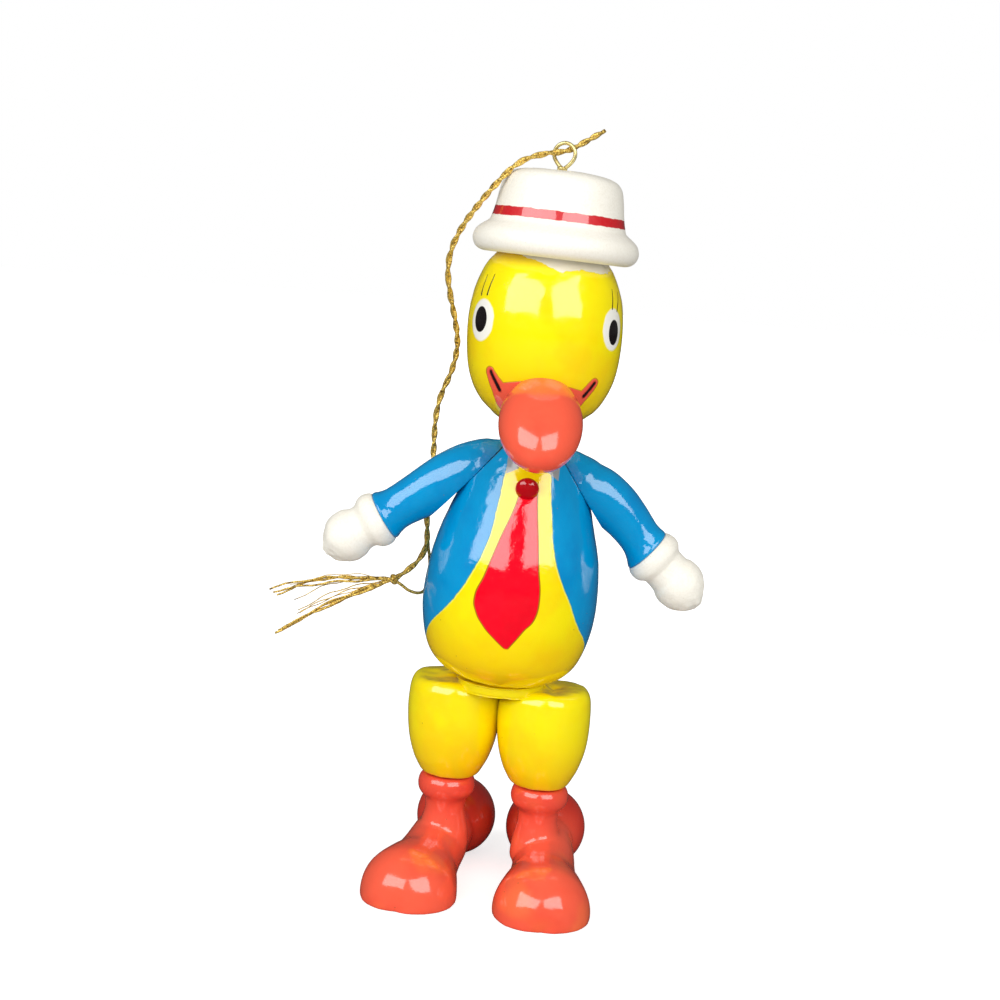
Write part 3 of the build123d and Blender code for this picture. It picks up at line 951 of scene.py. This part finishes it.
def notched(mesh):
    """Takes the V notch out of the front of the collar."""
    made = bmesh.new()
    bmesh.ops.create_cube(made, size=1.0)
    block = bpy.data.meshes.new("notch")
    made.to_mesh(block)
    made.free()
    size = Matrix.Diagonal(Vector((NOTCH_WIDTH, 9.4, NOTCH_WIDTH, 1.0)))
    block.transform(Matrix.Translation(NOTCH_MIDDLE) @ Matrix.Rotation(math.radians(45), 4, "Y") @ size)
    tool = bpy.data.objects.new("notch", block)
    scene.collection.objects.link(tool)
    mesh = with_modifiers(mesh, ("BOOLEAN", {"object": tool, "operation": "DIFFERENCE", "solver": "EXACT"}))
    bpy.data.objects.remove(tool)
    return mesh


def make_torso():
    mesh = turned(TORSO_SIDE, around=192, steps=10, wobble=0.05)
    for side, sign in SIDES:
        out = flat_out if sign > 0 else mirrored(flat_out)
        point = (FLAT_POINT if sign > 0 else mirrored(FLAT_POINT)) - out * FLAT_GAP
        mesh = cut(mesh, point, out)
    mesh = notched(mesh)
    torso = new_object("torso_pear", to_metres(mesh, torso_frame), "body", "torso_enamel", "torso")
    coat(torso, torso_paint())
    knot_at = middle("tie_knot")
    knot = ball((1.75, 1.1, 1.75), Matrix.Identity(4), 24)
    place = Matrix.Translation(knot_at) @ Matrix.Rotation(math.radians(20), 4, "X")
    piece = new_object("tie_knot_button", to_metres(knot, place), "body", "red_enamel", "tie_knot")
    coat(piece, materials["red"])


make_torso()


# =====================================================================
# Arms
# =====================================================================
ARM_DROP = {"left": math.radians(38.0), "right": math.radians(36.6)}
SLEEVE_LENGTH = {"left": 14.35, "right": 15.4}
SLEEVE_BOW = {"left": 1.2, "right": 0.25}
SHOULDER_END = Vector((8.3, 0, 64.4))
SLEEVE_SIDE = [
    (0, -0.02), (3.4, -0.02), (3.75, 0.05), (3.8, 0.35), (3.5, 1.2), (3.3, 2.4), (3.4, 4.5), (3.8, 8.0),
    (4.1, 11.0),
]
# the sleeve's blunt upper end, from the wrist to shoulder length on
SHOULDER_SIDE = [(4.2, -1.4), (4.05, 0.3), (3.6, 2.1), (2.7, 4.1), (1.4, 5.4), (0, 5.8)]
CUFF_SIDE = [(0, 0.0), (3.3, 0.0), (4.05, 0.35), (4.35, 1.3), (4.2, 2.3), (3.7, 3.0), (3.45, 3.5)]
HAND_REACH = {"left": 7.0, "right": 6.3}
HAND_RADIUS = 4.0


def along_z(origin, direction):
    """A place whose Z runs along a direction."""
    return Matrix.Translation(origin) @ direction.to_track_quat("Z", "Y").to_matrix().to_4x4()


def arc(radius, centre, first, last, step=15):
    """(radius, height) points of a ball's side, by the angle from its near pole."""
    angles = [math.radians(a) for a in range(first, last + 1, step)]
    return [(radius * math.sin(a), centre - radius * math.cos(a)) for a in angles]


def make_arm(side, sign):
    down = Vector((math.cos(ARM_DROP[side]), 0, -math.sin(ARM_DROP[side])))
    upper = Vector((math.sin(ARM_DROP[side]), 0, math.cos(ARM_DROP[side])))
    length = SLEEVE_LENGTH[side]
    wrist = SHOULDER_END + down * length
    out, point = flat_out.copy(), FLAT_POINT + flat_out * FLAT_GAP
    if sign < 0:
        down, upper, wrist, out, point = (mirrored(v) for v in (down, upper, wrist, out, point))
    shoulder = [(radius, length + height) for radius, height in SHOULDER_SIDE]
    sleeve = turned(SLEEVE_SIDE + shoulder, around=96, wobble=0.08)
    sleeve.transform(along_z(wrist, -down))
    for vertex in sleeve.vertices:
        share = min(max((wrist - vertex.co).dot(down) / length, 0.0), 1.0)
        vertex.co += upper * SLEEVE_BOW[side] * math.sin(math.pi * share)
    sleeve = cut(sleeve, point, -out)
    body = "arm_" + side
    piece = new_object("sleeve_" + side + "_painted", to_metres(sleeve, torso_frame), body, "blue_enamel",
                       "sleeve_" + side)
    coat(piece, materials["blue"])
    hand = turned(CUFF_SIDE + arc(HAND_RADIUS, HAND_REACH[side], 60, 180), around=96, wobble=0.15)
    hand.transform(along_z(wrist, down))
    piece = new_object("hand_" + side + "_painted", to_metres(hand, torso_frame), body, "ivory_paint",
                       "hand_" + side)
    coat(piece, materials["ivory"])


for side, sign in SIDES:
    make_arm(side, sign)


# =====================================================================
# Hips, thighs and boots
# =====================================================================
DISC_SIDE = [(0, 31.0), (5.8, 31.0), (6.35, 31.15), (6.6, 31.6), (6.6, 32.4), (6.4, 32.8), (0, 32.8)]
THIGH_SIDE = [
    (0, 16.42), (4.0, 16.42), (4.45, 16.6), (5.1, 17.6), (5.97, 19.4), (6.83, 22.4), (7.2, 25.8), (7.2, 28.4),
    (7.05, 30.3), (6.75, 31.2), (6.1, 31.85), (5.0, 31.98), (0, 32.0),
]
THIGH_TOP = 32.0
THIGH_RADIUS = 7.35
INNER_CUT_START = 4.6
SKIN_VOXEL = 0.25
INNER_CUT_SLOPE = math.radians(28.0)
SPOOL_SIDE = [
    (0, 4.0), (3.6, 4.0), (3.9, 6.5), (3.5, 8.7), (3.1, 10.5), (3.3, 12.2), (4.2, 13.3), (4.5, 14.3),
    (4.4, 15.3), (4.0, 16.05), (3.6, 16.22), (0, 16.22),
]
FOOT_SIDE = [
    (0, 0.0), (3.9, 0.0), (4.5, 3.0), (4.75, 6.1), (4.9, 9.1), (5.3, 12.1), (6.3, 15.1), (7.15, 18.0),
    (7.35, 20.0), (6.75, 22.5), (5.1, 24.8), (2.6, 26.1), (0, 26.4),
]
FOOT_START = Vector((0, 6.0, 5.8))
FOOT_SLOPE = math.radians(14.5)
HEEL_RADIUS = 6.4
HEEL_MIDDLE = Vector((0, 9.8, 6.25))
FOOT_OFFSET = {"left": 1.45, "right": 0.9}
TOE_OUT = {"left": -1.5, "right": 15.5}


def make_legs():
    place = Matrix.Translation(Vector((hip.x, hip.y, sole)))
    mesh = to_metres(turned(DISC_SIDE, wobble=0.05), place)
    disc = new_object("hip_disc_painted", mesh, "body", "yellow_enamel", "hip_disc")
    coat(disc, materials["yellow"])
    for side, sign in SIDES:
        ankle = Vector(joints["ankle_" + side + "_swivel"]["pos_m"])
        thigh_low, thigh_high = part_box("thigh_" + side)
        outer = thigh_high.x if sign > 0 else thigh_low.x
        axis_x = outer - sign * THIGH_RADIUS * MM
        mesh = turned(THIGH_SIDE, around=128, wobble=0.08)
        mesh.transform(Matrix.Translation(Vector(((axis_x - hip.x) / MM, 0, 0))))
        start = Vector((sign * INNER_CUT_START, 0, THIGH_TOP))
        away = Vector((-sign * math.sin(INNER_CUT_SLOPE), 0, math.cos(INNER_CUT_SLOPE)))
        mesh = cut(mesh, start - away * 0.02, away)
        mesh = blended(mesh, SKIN_VOXEL, 26)
        place = Matrix.Translation(Vector((hip.x, ankle.y, sole)))
        thigh = new_object("thigh_" + side + "_painted", to_metres(mesh, place), "body", "yellow_enamel",
                           "thigh_" + side)
        coat(thigh, materials["yellow"])
        make_boot(side, sign, Matrix.Translation(Vector((ankle.x, ankle.y, sole))))


def make_boot(side, sign, place):
    """Heel ball, turned foot and ankle spool under one skin, with a flat sole."""
    down = Vector((0, 0, -1))
    shift = Matrix.Translation(Vector((sign * FOOT_OFFSET[side], 0, 0)))
    foot = turned(FOOT_SIDE)
    foot.transform(shift @ Matrix.Translation(FOOT_START) @ Matrix.Rotation(math.pi / 2 + FOOT_SLOPE, 4, "X"))
    lumps = [ball((HEEL_RADIUS,) * 3, shift @ Matrix.Translation(HEEL_MIDDLE)), turned(SPOOL_SIDE), foot]
    lumps = [cut(lump, Vector(), down) for lump in lumps]
    skin = cut(blended(joined(lumps), SKIN_VOXEL, 14), Vector(), down)
    turn = place @ Matrix.Rotation(math.radians(sign * TOE_OUT[side]), 4, "Z")
    piece = new_object("boot_" + side + "_painted", to_metres(skin, turn), "boot_" + side, "coral_enamel",
                       "shoe_" + side, "ankle_spool_" + side)
    coat(piece, materials["coral"])


make_legs()

for name, node in frame["nodes"].items():
    if "dowel" in name or "peg" in name:
        node.data.materials.clear()
        node.data.materials.append(materials["wood"])


# =====================================================================
# Floor, lights and background
# =====================================================================
FLOOR_TONE = (0.7, 0.7, 0.7, 1.0)
FLOOR_IN_GLOSS = (0.06, 0.06, 0.06, 1.0)  # so the enamel mirrors a dark room, not a white floor


def make_floor():
    made = bmesh.new()
    bmesh.ops.create_grid(made, x_segments=2, y_segments=2, size=3.0)
    mesh = bpy.data.meshes.new("floor")
    made.to_mesh(mesh)
    made.free()
    floor = bpy.data.objects.new("floor", mesh)
    floor.location.z = sole
    scene.collection.objects.link(floor)
    paint = Paint("floor_paper")
    paint.shader.inputs["Roughness"].default_value = 0.9
    paint.shader.inputs["Specular IOR Level"].default_value = 0.0
    paint.shader.inputs["Emission Color"].default_value = (1.0, 1.0, 1.0, 1.0)
    seen = paint.tree.nodes.new("ShaderNodeLightPath")
    tone = paint.mix(seen.outputs["Is Glossy Ray"], FLOOR_TONE, FLOOR_IN_GLOSS)
    paint.wire(tone, paint.shader.inputs["Base Color"])
    glow = paint.ramp(paint.vector("LENGTH", paint.spot), 40.0, 350.0, 0.7, 1.05)
    glow = paint.math("MULTIPLY", glow, seen.outputs["Is Camera Ray"])
    paint.wire(glow, paint.shader.inputs["Emission Strength"])
    mesh.materials.append(paint.material)


def make_softbox(name, turns, rises, distance, glow):
    """A rectangular light that faces the duck and fills a range of directions, with an even glow."""
    turn, rise = (turns[0] + turns[1]) / 2, (rises[0] + rises[1]) / 2
    width = 2 * distance * math.tan(math.radians(turns[1] - turns[0]) / 2)
    height = 2 * distance * math.tan(math.radians(rises[1] - rises[0]) / 2)
    data = bpy.data.lights.new(name, "AREA")
    data.shape = "RECTANGLE"
    data.size = width
    data.size_y = height
    data.energy = glow * math.pi * width * height
    light = bpy.data.objects.new(name, data)
    a, b = math.radians(turn), math.radians(rise)
    out = Vector((math.sin(a) * math.cos(b), -math.cos(a) * math.cos(b), math.sin(b)))
    aim = hip + Vector((0, 0, 35 * MM))
    light.location = aim + out * distance
    light.rotation_euler = (-out).to_track_quat("-Z", "Y").to_euler()
    scene.collection.objects.link(light)


SOFTBOX_RISES = (10.0, 46.0)
SOFTBOX_DISTANCE = 0.9
SOFTBOX_GLOW = 3.3
ROOM_GLOW = 0.33
ROOM_GLOW_IN_GLOSS = 0.06


def make_light():
    make_softbox("softbox_left", (-67.0, -12.0), SOFTBOX_RISES, SOFTBOX_DISTANCE, SOFTBOX_GLOW)
    make_softbox("softbox_right", (10.0, 53.0), SOFTBOX_RISES, SOFTBOX_DISTANCE, SOFTBOX_GLOW)
    world = bpy.data.worlds.new("studio")
    scene.world = world
    world.use_nodes = True
    nodes, links = world.node_tree.nodes, world.node_tree.links
    background = nodes["Background"]
    seen = nodes.new("ShaderNodeLightPath")
    ambient = nodes.new("ShaderNodeMix")
    ambient.inputs[2].default_value = ROOM_GLOW
    ambient.inputs[3].default_value = ROOM_GLOW_IN_GLOSS
    links.new(seen.outputs["Is Glossy Ray"], ambient.inputs[0])
    strength = nodes.new("ShaderNodeMix")
    links.new(ambient.outputs[0], strength.inputs[2])
    strength.inputs[3].default_value = 1.0
    links.new(seen.outputs["Is Camera Ray"], strength.inputs[0])
    links.new(strength.outputs[0], background.inputs["Strength"])
    background.inputs["Color"].default_value = (1.0, 1.0, 1.0, 1.0)


make_floor()
make_light()
scene.view_settings.view_transform = "Standard"
